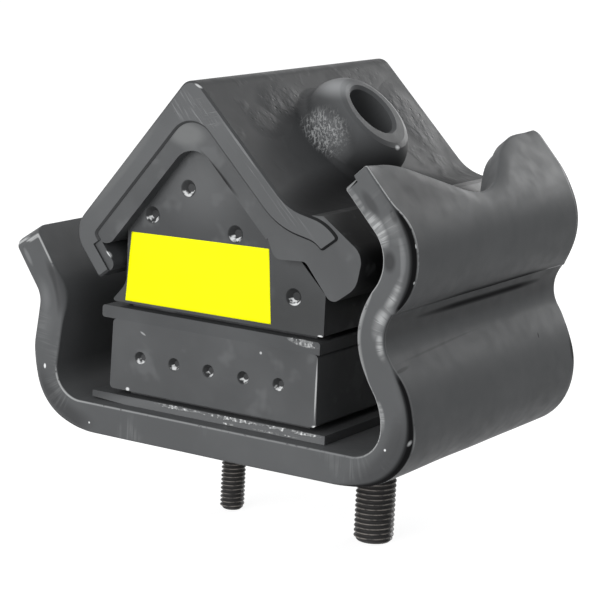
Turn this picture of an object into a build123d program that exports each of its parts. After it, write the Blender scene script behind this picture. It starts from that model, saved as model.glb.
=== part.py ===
from build123d import *
import os
from math import cos, radians, sin, tan

# Engine mount with a V-shaped rubber spring. Millimetres and degrees.
# X runs across the cradle, to the right as seen from the front. Y runs along it, away from the front.
# Z is up. The origin is the middle of the cradle's underside, halfway between the two studs.
# A section is drawn in X and Z. A bent strip is followed along the middle of its thickness.

# Cradle: one thick strip, bent up at both sides
CRADLE_LENGTH = 140.0
CRADLE_THICKNESS = 12.0
CORNER_RADIUS = 17.7
FLOOR_RIGHT = 60.8
FLOOR_LEFT = 61.3

# Right wall: it leans in, swings out round the saddle's foot and hooks back over it
LOWER_SWELL_RADIUS = 30.4
LOWER_SWELL_ANGLE = 33.9
LOWER_FLANK = 7.2
WAIST_RADIUS = 19.3
WAIST_ANGLE = 68.2
UPPER_FLANK = 4.4
UPPER_SWELL_RADIUS = 22.1
UPPER_SWELL_ANGLE = 77.2
HOOK_LENGTH = 22.1

# Left wall: short, leaning in a little and then flared outward
LEFT_CORNER_ANGLE = 97.0
LEFT_LOWER_LENGTH = 20.6
LEFT_BEND_RADIUS = 16.0
LEFT_BEND_ANGLE = 41.0
LEFT_FLARE_LENGTH = 17.9

# Edges of the cradle: rolled over by the press on the outside, broken on the inside
ROLLED_EDGE = 3.0
BROKEN_EDGE = 0.8

# Hook's edge: a scallop that clears the fastener in the saddle's boss, between two horns.
# The back horn is higher and steeper, and the cut leans outward through the thickness.
SCALLOP_DEPTH = 21.4
SCALLOP_SHIFT = -0.8
VALLEY_RADIUS = 33.0
FRONT_HORN_DROP = 2.2
FRONT_FLANK_SLOPE = 24.3
FRONT_SHOULDER_RADIUS = 50.0
FRONT_CORNER = 1.5
BACK_FLANK_SLOPE = 32.9
BACK_SHOULDER_RADIUS = 53.0
BACK_CORNER = 5.0
HOOK_LEAN = 7.0
HOOK_SPARE = 3.0
FLARE_CORNER = 2.0

# Studs, hanging below the floor, their heads let into its upper side
STUD_OFFSET = 33.6
STUD_REACH = 41.5
MAIN_STUD_RADIUS = 8.0
LOCATING_STUD_RADIUS = 5.0
STUD_HEAD_HEIGHT = 6.0
STUD_HEAD_OVERHANG = 4.0
STUD_NECK_STEP = 0.5
STUD_END_CHAMFER = 1.4
STUD_CLEARANCE = 0.4

# Base plate, its left end raised off the floor by a hair
STACK_LENGTH = 127.0
BASE_PLATE_THICKNESS = 3.4
BASE_PLATE_LEFT = 59.9
BASE_PLATE_RIGHT = 46.0
BASE_PLATE_LIFT = 0.9
BASE_PLATE_LIFT_LENGTH = 15.0

# Pedestal: a rubber-covered block, standing on a pad smaller than itself
PEDESTAL_LEFT = 51.8
PEDESTAL_RIGHT = 42.0
PEDESTAL_HEIGHT = 27.5
PEDESTAL_TAPER = 0.7
PEDESTAL_EDGE = 1.6
PAD_HEIGHT = 2.3
PAD_INSET = 6.0
INSERT_THICKNESS = 8.0
INSERT_COVER = 5.0

# Interleaf plate between the pedestal and the wedge, with a lip at its left end
INTERLEAF_THICKNESS = 4.8
INTERLEAF_LIP = 4.6
INTERLEAF_EDGE = 1.2

# Pits left by the tapered pins that hold the plates in the mould
PEDESTAL_PIT_RADIUS = 2.6
PEDESTAL_PIT_PITCH = 15.7
PEDESTAL_PITS = 5
PEDESTAL_PIT_SHIFT = -1.6
WEDGE_PIT_RADIUS = 3.4
PIT_DEPTH = 2.2
PIT_TAPER = 0.45
WEDGE_PITS_LEFT_LEG = (1.5, 21.5)
WEDGE_PITS_RIGHT_LEG = (25.7, 59.0)

# Saddle: forged plate over the wedge, heights taken from the wedge's underside
SADDLE_LENGTH = 140.0
SADDLE_THICKNESS = 9.0
RIDGE_X = -15.2
RIDGE_RISE = 91.9
RIDGE_RADIUS = 6.0
CROWN_RADIUS = 10.0
RIGHT_SLOPE = 45.0
LEFT_SLOPE = 51.3
RIGHT_LEG = 51.8
FLARE_RADIUS = 25.5
FLARE_ANGLE = 33.0
FLARE_LENGTH = 5.0
LIP_RADIUS = 14.0
LIP_ANGLE = 40.0
LEFT_LEG = 70.5
TUCK_RADIUS = 6.0
TUCK_ANGLE = 77.0
TUCK_LENGTH = 13.6
FOOT_EDGE = 1.5
SADDLE_EDGE = 0.8

# Boss on the right slope
BOSS_DOWN_SLOPE = 38.9
BOSS_BASE_RADIUS = 22.0
BOSS_RIM_RADIUS = 16.2
BOSS_HEIGHT = 16.3
BOSS_BELLY = 3.0
BOSS_RIM_EDGE = 1.2
BOSS_ROOT_FILLET = 3.0
BORE_RADIUS = 10.8
BORE_DEPTH = 14.0
BORE_UP_SLOPE = 1.5
THROAT_RADIUS = 9.4

# Rubber spring under the saddle
SPRING_LENGTH = 138.0
SPRING_THICKNESS = 7.0
SPRING_LEFT_SHORTFALL = 6.5
SPRING_RIGHT_OVERRUN = 0.2
SPRING_TOE_ROUNDING = 4.9

# Right buffer, corners from the tip of the saddle's right foot: across, up, rounding
BUFFER_CORNERS = (
    (-3.6, 10.2, 1.0),
    (13.6, -1.8, 7.0),
    (11.4, -14.3, 9.0),
    (1.6, -21.6, 3.5),
    (-10.3, -7.4, 3.0),
    (-23.5, -8.2, 4.0),
    (-31.0, 8.0, 1.0),
)

# Left buffer: a rubber pad let into the inner side of the tucked foot
BUFFER_THICKNESS = 3.4
BUFFER_LENGTH = 12.0
BUFFER_ROUNDING = 2.7

# Wedge under the spring
WEDGE_RIGHT = 43.3
WEDGE_LEFT_FOOT = 52.2
WEDGE_LEFT_WAIST = 45.6
WEDGE_WAIST_RISE = 7.5
WEDGE_WAIST_ROUNDING = 8.0
WEDGE_EDGE = 0.8
PARTING_HEIGHT = 2.2

# Folded core plate inside the wedge
CORE_THICKNESS = 5.0
CORE_SLOPE = 36.9
CORE_X = -17.5
CORE_RISE = 48.5
CORE_LEFT_LEG = 23.0
CORE_RIGHT_LEG = 64.0
CORE_COVER = 5.0

# Levels of the stack, from the floor up
FLOOR_TOP = CRADLE_THICKNESS
PLATE_TOP = FLOOR_TOP + BASE_PLATE_THICKNESS
PEDESTAL_BOTTOM = PLATE_TOP + PAD_HEIGHT
PEDESTAL_TOP = PEDESTAL_BOTTOM + PEDESTAL_HEIGHT
INTERLEAF_TOP = PEDESTAL_TOP + INTERLEAF_THICKNESS
WEDGE_BOTTOM = INTERLEAF_TOP + PARTING_HEIGHT
STACK_MIDDLE = (PEDESTAL_RIGHT - PEDESTAL_LEFT) / 2
STUD_SEAT = FLOOR_TOP - STUD_HEAD_HEIGHT

# Nearer than this, two places are one
TOUCH = 0.01

RIGHT_HEADING = -RIGHT_SLOPE
LEFT_HEADING = 180 + LEFT_SLOPE


def straight(length):
    """A straight stretch of a strip."""
    return length, 0.0


def bend(radius, angle):
    """A bend of a strip, to the left of its heading where the angle is positive."""
    return radius, angle


def towards(heading, distance=1.0):
    """Vector of a length along a heading, in the section."""
    return Vector(cos(radians(heading)), sin(radians(heading))) * distance


def follow(start, heading, moves, offset=0.0):
    """Lines and arcs of a path at an offset to its left, with the path's last place and heading."""
    place = start
    lines = []
    for size, angle in moves:
        across = towards(heading + 90)
        if angle == 0:
            end = place + towards(heading, size)
            lines.append(Line(place + across * offset, end + across * offset))
        else:
            side = 1 if angle > 0 else -1
            centre = place + across * (side * size)
            lines.append(CenterArc(centre, size - side * offset, heading - 90 * side, angle))
            heading += angle
            end = centre - towards(heading + 90) * (side * size)
        place = end
    return lines, place, heading


class Strip:
    """Section of a bent strip, with its two long sides, its tip and its last heading."""

    def __init__(self, start, heading, moves, thickness):
        self.left, self.tip, self.heading = follow(start, heading, moves, thickness / 2)
        self.right = follow(start, heading, moves, -thickness / 2)[0]
        caps = [Line(self.left[0] @ 0, self.right[0] @ 0), Line(self.left[-1] @ 1, self.right[-1] @ 1)]
        self.face = make_face(self.left + self.right + caps)


def rounded(face, point, radius):
    """The section with the corner nearest a point rounded."""
    corner = face.vertices().sort_by_distance(point)[0]
    return fillet(corner, radius)


def outline(corners):
    """Section from corners given as across, up and rounding."""
    points = [Vector(x, z) for x, z, radius in corners]
    face = make_face(Polyline(*points, close=True))
    for point, (x, z, radius) in zip(points, corners):
        if radius > 0:
            face = rounded(face, point, radius)
    return face


def along(face, length):
    """Solid of a section, drawn out along the mount's length and centred on it."""
    return extrude(Plane.XZ * face, amount=length / 2, both=True)


def block(left, right, bottom, top, length):
    """Rectangular block between two sides and two levels."""
    middle = Pos((left + right) / 2, 0, (bottom + top) / 2)
    return middle * Box(right - left, length, top - bottom)


def end_edges(solid, length, sides):
    """Edges of a drawn-out solid that lie in its two end planes, along the given sides of its section."""
    found = []
    for edge in solid.edges():
        place = edge @ 0.5
        at_end = abs(abs(place.Y) - length / 2) < TOUCH
        if at_end and any(side.distance_to(Vector(place.X, place.Z)) < TOUCH for side in sides):
            found.append(edge)
    return found


def apex(depth):
    """Point of the ridge's bisector where two faces at a depth below the saddle's outer faces would meet."""
    bisector = (RIGHT_HEADING + LEFT_HEADING - 360) / 2
    half_angle = (180 - RIGHT_SLOPE - LEFT_SLOPE) / 2
    ridge = Vector(RIDGE_X, WEDGE_BOTTOM + RIDGE_RISE)
    return ridge + towards(bisector, depth / sin(radians(half_angle)))


def chevron(depth, thickness, left_moves, right_moves, outer_radius, inner_radius):
    """Section of a V-shaped layer whose outer faces lie at a depth, with its two legs as strips."""
    middle = apex(depth + thickness / 2)
    left = Strip(middle, LEFT_HEADING, left_moves, thickness)
    right = Strip(middle, RIGHT_HEADING, right_moves, thickness)
    crown = make_face(Polyline(apex(depth), left.right[0] @ 0, middle, right.left[0] @ 0, close=True))
    face = left.face + right.face + crown
    face = rounded(face, apex(depth), outer_radius)
    face = rounded(face, apex(depth + thickness), inner_radius)
    return face, left, right


def saddle_section():
    """Section of the forged plate: flared right foot, tucked left foot."""
    left_moves = [straight(LEFT_LEG), bend(TUCK_RADIUS, TUCK_ANGLE), straight(TUCK_LENGTH)]
    right_moves = [
        straight(RIGHT_LEG),
        bend(FLARE_RADIUS, FLARE_ANGLE),
        straight(FLARE_LENGTH),
        bend(LIP_RADIUS, -LIP_ANGLE),
    ]
    face, left, right = chevron(0, SADDLE_THICKNESS, left_moves, right_moves, RIDGE_RADIUS, CROWN_RADIUS)
    for strip in (left, right):
        face = rounded(face, strip.left[-1] @ 1, FOOT_EDGE)
        face = rounded(face, strip.right[-1] @ 1, FOOT_EDGE)
    return face, left, right


def left_buffer_strip(left_foot, overrun=0.0):
    """Strip of the pad let into the inner side of the tucked foot, running past its tip by an overrun."""
    inset = towards(left_foot.heading + 90, (SADDLE_THICKNESS - BUFFER_THICKNESS) / 2)
    start = left_foot.tip + inset - towards(left_foot.heading, BUFFER_LENGTH)
    return Strip(start, left_foot.heading, [straight(BUFFER_LENGTH + overrun)], BUFFER_THICKNESS)


def left_buffer():
    """Rubber pad bonded to the tucked foot, its free corner rounded."""
    left_foot = saddle_section()[1]
    pad = left_buffer_strip(left_foot)
    face = rounded(pad.face, pad.left[0] @ 1, BUFFER_ROUNDING)
    return along(face, SPRING_LENGTH)


def right_buffer_section(right_foot):
    """Section of the buffer that wraps the flared foot."""
    tip = right_foot.tip
    return outline([(tip.X + across, tip.Y + up, radius) for across, up, radius in BUFFER_CORNERS])


def boss_plane():
    """Plane on the right slope whose normal is the boss's axis."""
    foot = apex(0) + towards(RIGHT_HEADING, BOSS_DOWN_SLOPE)
    normal = towards(RIGHT_HEADING + 90)
    return Plane(origin=(foot.X, 0, foot.Y), x_dir=(0, 1, 0), z_dir=(normal.X, 0, normal.Y))


def boss():
    """Barrel-sided boss, from inside the plate to its rim."""
    sink = SADDLE_THICKNESS / 2
    belly = Vector((BOSS_BASE_RADIUS + BOSS_RIM_RADIUS) / 2 + BOSS_BELLY, BOSS_HEIGHT / 2)
    base = Vector(BOSS_BASE_RADIUS, 0)
    rim = Vector(BOSS_RIM_RADIUS, BOSS_HEIGHT)
    side = ThreePointArc(base, belly, rim)
    rest = Polyline(rim, (0, BOSS_HEIGHT), (0, -sink), (BOSS_BASE_RADIUS, -sink), base)
    return boss_plane() * revolve(Plane.XZ * make_face([side, *rest.edges()]), axis=Axis.Z)


def boss_bore():
    """Stepped bore through the boss and the plate, set a little up the slope."""
    mouth = Pos(0, 0, BOSS_HEIGHT - BORE_DEPTH / 2) * Cylinder(BORE_RADIUS, BORE_DEPTH)
    depth = BOSS_HEIGHT + SADDLE_THICKNESS * 2
    throat = Pos(0, 0, BOSS_HEIGHT - depth / 2) * Cylinder(THROAT_RADIUS, depth)
    return boss_plane() * Pos(0, BORE_UP_SLOPE, 0) * (mouth + throat)


def circles_at(solid, plane, height):
    """Round edges of a solid whose centres lie at a height over a plane."""
    found = []
    for edge in solid.edges().filter_by(GeomType.CIRCLE):
        if abs(plane.to_local_coords(edge.arc_center).Z - height) < TOUCH:
            found.append(edge)
    return found


def saddle():
    """Forged saddle with its boss."""
    face, left, right = saddle_section()
    plate = along(face - left_buffer_strip(left, FOOT_EDGE).face, SADDLE_LENGTH)
    plate = chamfer(end_edges(plate, SADDLE_LENGTH, left.right + right.left), SADDLE_EDGE)
    place = boss_plane()
    body = plate + boss()
    body = fillet(circles_at(body, place, 0), BOSS_ROOT_FILLET)
    body = body - boss_bore()
    return chamfer(circles_at(body, place, BOSS_HEIGHT), BOSS_RIM_EDGE)


def spring_section():
    """Section of the rubber layer and the right buffer, less the steel that they are bonded to."""
    steel, left_foot, right_foot = saddle_section()
    left_moves = [straight(LEFT_LEG - SPRING_LEFT_SHORTFALL)]
    right_moves = [straight(RIGHT_LEG + SPRING_RIGHT_OVERRUN)]
    crown = CROWN_RADIUS - SPRING_THICKNESS / 2
    layer, left, right = chevron(
        SADDLE_THICKNESS, SPRING_THICKNESS, left_moves, right_moves, crown, CROWN_RADIUS
    )
    layer = rounded(layer, left.left[-1] @ 1, SPRING_TOE_ROUNDING)
    return layer + right_buffer_section(right_foot) - steel


def spring_rubber():
    """Rubber layer with its right buffer."""
    return along(spring_section(), SPRING_LENGTH)


def cradle_strips():
    """The two halves of the cradle's section, from the middle of the floor to each tip."""
    start = Vector(0, CRADLE_THICKNESS / 2)
    right_moves = [
        straight(FLOOR_RIGHT),
        bend(CORNER_RADIUS, 90),
        bend(LOWER_SWELL_RADIUS, LOWER_SWELL_ANGLE),
        straight(LOWER_FLANK),
        bend(WAIST_RADIUS, -WAIST_ANGLE),
        straight(UPPER_FLANK),
        bend(UPPER_SWELL_RADIUS, UPPER_SWELL_ANGLE),
        straight(HOOK_LENGTH),
    ]
    left_moves = [
        straight(FLOOR_LEFT),
        bend(CORNER_RADIUS, -LEFT_CORNER_ANGLE),
        straight(LEFT_LOWER_LENGTH),
        bend(LEFT_BEND_RADIUS, LEFT_BEND_ANGLE),
        straight(LEFT_FLARE_LENGTH),
    ]
    right = Strip(start, 0, right_moves, CRADLE_THICKNESS)
    left = Strip(start, 180, left_moves, CRADLE_THICKNESS)
    return left, right


def hook_side(heading, depth, slope, shoulder, corner):
    """One side of the hook's edge, from the scallop's lowest point round to the strip's end face."""
    side = 1 if heading == 0 else -1
    bends = VALLEY_RADIUS + shoulder
    flank = (depth - bends * (1 - cos(radians(slope)))) / sin(radians(slope))
    reach = bends * sin(radians(slope)) + flank * cos(radians(slope))
    horn = CRADLE_LENGTH / 2 - side * SCALLOP_SHIFT - reach - corner
    moves = [
        bend(VALLEY_RADIUS, side * slope),
        straight(flank),
        bend(shoulder, -side * slope),
        straight(horn),
        bend(corner, -side * 90),
    ]
    return follow(Vector(SCALLOP_SHIFT, -SCALLOP_DEPTH), heading, moves)[:2]


def hook_cutter(hook):
    """Cutter for the hook's edge, leaning outward through the thickness."""
    front_depth = SCALLOP_DEPTH - FRONT_HORN_DROP
    front, front_end = hook_side(180, front_depth, FRONT_FLANK_SLOPE, FRONT_SHOULDER_RADIUS, FRONT_CORNER)
    back, back_end = hook_side(0, SCALLOP_DEPTH, BACK_FLANK_SLOPE, BACK_SHOULDER_RADIUS, BACK_CORNER)
    aside = Vector(CRADLE_THICKNESS, 0)
    lid = [Vector(back_end.X, CRADLE_THICKNESS) + aside, Vector(front_end.X, CRADLE_THICKNESS) - aside]
    rest = Polyline(back_end, back_end + aside, *lid, front_end - aside, front_end)
    face = make_face([*front, *back, *rest.edges()])
    across = towards(hook.heading - 90 + HOOK_LEAN)
    place = Plane(origin=(hook.tip.X, 0, hook.tip.Y), x_dir=(0, 1, 0), z_dir=(across.X, 0, across.Y))
    return extrude(place * face, amount=CRADLE_THICKNESS, both=True)


def corner_edge(solid, strip, end):
    """Edge across a strip's thickness at one end of its tip."""
    corner = Vector(strip.tip.X, end, strip.tip.Y)
    return solid.edges().sort_by(lambda edge: (edge @ 0.5 - corner).length)[0]


def stud_seat(offset, radius, clearance):
    """Head and neck of a stud in the floor, or with a clearance their stepped hole."""
    neck_radius = radius + STUD_NECK_STEP + clearance
    head_radius = radius + STUD_HEAD_OVERHANG + clearance
    neck = Pos(offset, 0, STUD_SEAT / 2) * Cylinder(neck_radius, STUD_SEAT)
    return neck + Pos(offset, 0, (STUD_SEAT + FLOOR_TOP) / 2) * Cylinder(head_radius, STUD_HEAD_HEIGHT)


def cradle():
    """Bent strip with the hook's scallop, the rolled outer edges and the stud holes."""
    left, right = cradle_strips()
    spare = Strip(right.tip, right.heading, [straight(HOOK_SPARE)], CRADLE_THICKNESS)
    body = along(left.face + right.face + spare.face, CRADLE_LENGTH)
    end = CRADLE_LENGTH / 2
    body = fillet([corner_edge(body, left, -end), corner_edge(body, left, end)], FLARE_CORNER)
    body = fillet(end_edges(body, CRADLE_LENGTH, right.right + left.left), ROLLED_EDGE)
    body = chamfer(end_edges(body, CRADLE_LENGTH, right.left + left.right), BROKEN_EDGE)
    body = body - hook_cutter(right)
    body = body - stud_seat(STUD_OFFSET, MAIN_STUD_RADIUS, STUD_CLEARANCE)
    return body - stud_seat(-STUD_OFFSET, LOCATING_STUD_RADIUS, STUD_CLEARANCE)


def base_plate():
    """Thin plate on the floor, its left end sprung up by a hair."""
    corners = [
        (-BASE_PLATE_LEFT, FLOOR_TOP + BASE_PLATE_LIFT, 0),
        (-BASE_PLATE_LEFT + BASE_PLATE_LIFT_LENGTH, FLOOR_TOP, 0),
        (BASE_PLATE_RIGHT, FLOOR_TOP, 0),
        (BASE_PLATE_RIGHT, PLATE_TOP, 0),
        (-BASE_PLATE_LEFT, PLATE_TOP, 0),
    ]
    return along(outline(corners), STACK_LENGTH)


def pits(places, radius):
    """Tapered pins for pits in both end faces of the stack, at places given across and up."""
    pin = Cone(radius, radius * PIT_TAPER, PIT_DEPTH)
    pins = []
    for place in places:
        for side in (-1, 1):
            middle = side * (STACK_LENGTH - PIT_DEPTH) / 2
            pins.append(Pos(place.X, middle, place.Y) * Rot(side * 90, 0, 0) * pin)
    return pins


def pad(left, right, bottom, top):
    """Block set back from the edges of the stack, under one of its rubbers."""
    return block(left + PAD_INSET, right - PAD_INSET, bottom, top, STACK_LENGTH - 2 * PAD_INSET)


def pedestal_insert():
    """Plate moulded into the middle of the pedestal."""
    level = (PEDESTAL_BOTTOM + PEDESTAL_TOP) / 2
    half = INSERT_THICKNESS / 2
    left, right = -PEDESTAL_LEFT + INSERT_COVER, PEDESTAL_RIGHT - INSERT_COVER
    return block(left, right, level - half, level + half, STACK_LENGTH - 2 * INSERT_COVER)


def pedestal_rubber():
    """Rubber block on its pad, with a row of pits in each end face."""
    corners = [
        (-PEDESTAL_LEFT, PEDESTAL_BOTTOM, PEDESTAL_EDGE),
        (PEDESTAL_RIGHT, PEDESTAL_BOTTOM, PEDESTAL_EDGE),
        (PEDESTAL_RIGHT - PEDESTAL_TAPER, PEDESTAL_TOP, PEDESTAL_EDGE),
        (-PEDESTAL_LEFT + PEDESTAL_TAPER, PEDESTAL_TOP, PEDESTAL_EDGE),
    ]
    body = along(outline(corners), STACK_LENGTH)
    body = body + pad(-PEDESTAL_LEFT, PEDESTAL_RIGHT, PLATE_TOP, PEDESTAL_BOTTOM)
    level = (PEDESTAL_BOTTOM + PEDESTAL_TOP) / 2
    first = STACK_MIDDLE + PEDESTAL_PIT_SHIFT - PEDESTAL_PIT_PITCH * (PEDESTAL_PITS - 1) / 2
    places = [Vector(first + PEDESTAL_PIT_PITCH * i, level) for i in range(PEDESTAL_PITS)]
    return body - pedestal_insert() - pits(places, PEDESTAL_PIT_RADIUS)


def interleaf_plate():
    """Plate between pedestal and wedge, with its lip at the left."""
    left = -PEDESTAL_LEFT - INTERLEAF_LIP
    corners = [
        (left, PEDESTAL_TOP, INTERLEAF_EDGE),
        (PEDESTAL_RIGHT, PEDESTAL_TOP, 0),
        (PEDESTAL_RIGHT, INTERLEAF_TOP, INTERLEAF_EDGE),
        (left, INTERLEAF_TOP, INTERLEAF_EDGE),
    ]
    return along(outline(corners), STACK_LENGTH)


def core_legs():
    """Strips of the folded core plate, from its ridge down to the left and to the right."""
    ridge = Vector(CORE_X, WEDGE_BOTTOM + CORE_RISE)
    left = Strip(ridge, 180 + CORE_SLOPE, [straight(CORE_LEFT_LEG)], CORE_THICKNESS)
    right = Strip(ridge, -CORE_SLOPE, [straight(CORE_RIGHT_LEG)], CORE_THICKNESS)
    return left, right


def wedge_core():
    """Folded plate moulded into the wedge, running just under the pits."""
    left, right = core_legs()
    ridge = left.tip + towards(CORE_SLOPE, CORE_LEFT_LEG)
    top = ridge + towards(90, CORE_THICKNESS / 2 / cos(radians(CORE_SLOPE)))
    fold = make_face(Polyline(ridge, right.left[0] @ 0, top, left.right[0] @ 0, close=True))
    return along(left.face + right.face + fold, STACK_LENGTH - 2 * CORE_COVER)


def wedge_section():
    """Section of the wedge, up to the inner side of the spring."""
    top = apex(SADDLE_THICKNESS + SPRING_THICKNESS / 2)
    right_drop = (WEDGE_RIGHT - top.X) * tan(radians(RIGHT_SLOPE))
    left_drop = (WEDGE_LEFT_WAIST + top.X) * tan(radians(LEFT_SLOPE))
    corners = [
        (-WEDGE_LEFT_FOOT, WEDGE_BOTTOM, WEDGE_EDGE),
        (WEDGE_RIGHT, WEDGE_BOTTOM, WEDGE_EDGE),
        (WEDGE_RIGHT, top.Y - right_drop, 0),
        (top.X, top.Y, 0),
        (-WEDGE_LEFT_WAIST, top.Y - left_drop, 0),
        (-WEDGE_LEFT_WAIST, WEDGE_BOTTOM + WEDGE_WAIST_RISE, WEDGE_WAIST_ROUNDING),
    ]
    return outline(corners) - spring_section()


def wedge_rubber():
    """Rubber wedge on its pad, hollowed for the core."""
    body = along(wedge_section(), STACK_LENGTH)
    body = body + pad(-WEDGE_LEFT_FOOT, WEDGE_RIGHT, INTERLEAF_TOP, WEDGE_BOTTOM)
    ridge = Vector(CORE_X, WEDGE_BOTTOM + CORE_RISE)
    places = [ridge + towards(180 + CORE_SLOPE, distance) for distance in WEDGE_PITS_LEFT_LEG]
    places += [ridge + towards(-CORE_SLOPE, distance) for distance in WEDGE_PITS_RIGHT_LEG]
    return body - wedge_core() - pits(places, WEDGE_PIT_RADIUS)


def stud(offset, radius):
    """Plain stud hanging from its seat in the floor, its lower end chamfered."""
    shank = Pos(offset, 0, -STUD_REACH / 2) * Cylinder(radius, STUD_REACH)
    end = shank.edges().sort_by(Axis.Z)[0]
    return chamfer(end, STUD_END_CHAMFER) + stud_seat(offset, radius, 0)


def main_stud():
    """Stud that carries the mount."""
    return stud(STUD_OFFSET, MAIN_STUD_RADIUS)


def locating_stud():
    """Thinner stud that stops the mount from turning."""
    return stud(-STUD_OFFSET, LOCATING_STUD_RADIUS)


if __name__ == "__main__":
    os.makedirs("parts", exist_ok=True)
    nodes = [
        cradle,
        saddle,
        spring_rubber,
        left_buffer,
        wedge_rubber,
        wedge_core,
        interleaf_plate,
        pedestal_rubber,
        pedestal_insert,
        base_plate,
        main_stud,
        locating_stud,
    ]
    for node in nodes:
        export_step(node(), f"parts/{node.__name__}.step")
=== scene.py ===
"""Looks of the engine mount: finishes, threads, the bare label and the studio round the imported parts."""

import logging
import math
from collections.abc import Mapping, Sequence
from dataclasses import dataclass
from enum import Enum
from functools import reduce
from operator import or_
from typing import Any

import bmesh
import bpy
import numpy as np
from mathutils import Matrix

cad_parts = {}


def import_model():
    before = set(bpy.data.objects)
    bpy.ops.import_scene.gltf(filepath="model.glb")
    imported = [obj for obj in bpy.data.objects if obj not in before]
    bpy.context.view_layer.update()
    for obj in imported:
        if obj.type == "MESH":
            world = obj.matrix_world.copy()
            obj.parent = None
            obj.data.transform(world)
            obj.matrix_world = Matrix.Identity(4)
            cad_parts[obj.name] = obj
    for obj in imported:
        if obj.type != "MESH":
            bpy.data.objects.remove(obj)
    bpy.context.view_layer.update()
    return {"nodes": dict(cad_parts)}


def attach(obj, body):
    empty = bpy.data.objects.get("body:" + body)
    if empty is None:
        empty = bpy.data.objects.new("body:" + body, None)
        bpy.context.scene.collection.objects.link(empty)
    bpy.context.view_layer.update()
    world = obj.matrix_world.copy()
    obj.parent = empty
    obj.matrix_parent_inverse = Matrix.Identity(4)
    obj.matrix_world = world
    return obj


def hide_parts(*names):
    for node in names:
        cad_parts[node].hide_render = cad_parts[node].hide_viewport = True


LOG = logging.getLogger("engine_mount")
MM = 0.001
Array = np.ndarray
Place = tuple[float, float, float]
Tree = bpy.types.NodeTree


class Coverage(Enum):
    """How thickly the spray lies on a finish: the share of the surface's own grain that still shows."""

    THIN = 1.0
    FULL = 0.8
    FLOODED = 0.65


# Small helpers for node trees and meshes


def linear(colour: str) -> tuple[float, float, float, float]:
    """Turns an sRGB hex colour into linear RGBA.

    Args:
        colour: six hex digits, such as "4b4c4d".

    Returns:
        Red, green, blue and an alpha of 1, by c/12.92 below 0.04045 and ((c + 0.055) / 1.055)^2.4 above.
    """
    channels = [int(colour[i : i + 2], 16) / 255 for i in (0, 2, 4)]
    red, green, blue = (c / 12.92 if c <= 0.04045 else ((c + 0.055) / 1.055) ** 2.4 for c in channels)
    return red, green, blue, 1.0


def add(tree: Tree, kind: str, inputs: Mapping[str | int, Any] | None = None, **settings: Any) -> bpy.types.Node:
    """Adds a node to a tree.

    Args:
        tree: the node tree.
        kind: the node's type without its ShaderNode prefix.
        inputs: by input name or number, a plain value, or a socket or Value to link.
        settings: the node's own properties.

    Returns:
        The new node.
    """
    node = tree.nodes.new("ShaderNode" + kind)
    for name, value in settings.items():
        setattr(node, name, value)
    for name, value in (inputs or {}).items():
        if isinstance(value, Value):
            value = value.socket
        if isinstance(value, bpy.types.NodeSocket):
            tree.links.new(value, node.inputs[name])
        else:
            node.inputs[name].default_value = value
    return node


@dataclass(frozen=True)
class Value:
    """A number or colour that varies over a surface: a node's output, and the tree that it is in."""

    tree: Tree
    socket: bpy.types.NodeSocket

    def maths(self, operation: str, first: Any, second: Any = 0.0) -> "Value":
        """Result of a maths operation on two values or numbers."""
        return Value(self.tree, add(self.tree, "Math", {0: first, 1: second}, operation=operation).outputs[0])

    def __mul__(self, other: Any) -> "Value":
        """Product with a value or number."""
        return self.maths("MULTIPLY", self, other)

    def __add__(self, other: Any) -> "Value":
        """Sum with a value or number."""
        return self.maths("ADD", self, other)

    def __sub__(self, other: Any) -> "Value":
        """What is left after a value or number is taken away."""
        return self.maths("SUBTRACT", self, other)

    def __rsub__(self, other: float) -> "Value":
        """What is left of a number."""
        return self.maths("SUBTRACT", other, self)

    def __or__(self, other: "Value") -> "Value":
        """The larger of two values."""
        return self.maths("MAXIMUM", self, other)

    def __abs__(self) -> "Value":
        """Size without its sign."""
        return self.maths("ABSOLUTE", self)

    def rise(self, low: float, high: float) -> "Value":
        """Share that goes smoothly from 0 to 1 as the value goes from low to high."""
        limits = {"Value": self, "From Min": low, "From Max": high}
        return Value(self.tree, add(self.tree, "MapRange", limits, interpolation_type="SMOOTHSTEP").outputs[0])

    def mix(self, first: Any, second: Any) -> "Value":
        """Mix of two colours by this share, all of the second at 1."""
        colours = {"Factor": self, 6: first, 7: second}
        return Value(self.tree, add(self.tree, "Mix", colours, data_type="RGBA").outputs[2])


@dataclass(frozen=True)
class Mark:
    """A place on a surface where something shows: a soft-edged ellipsoid, in millimetres and degrees."""

    centre: Place
    reach: Place
    turn: Place = (0.0, 0.0, 0.0)
    soft: float = 0.6
    strength: float = 1.0


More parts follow.
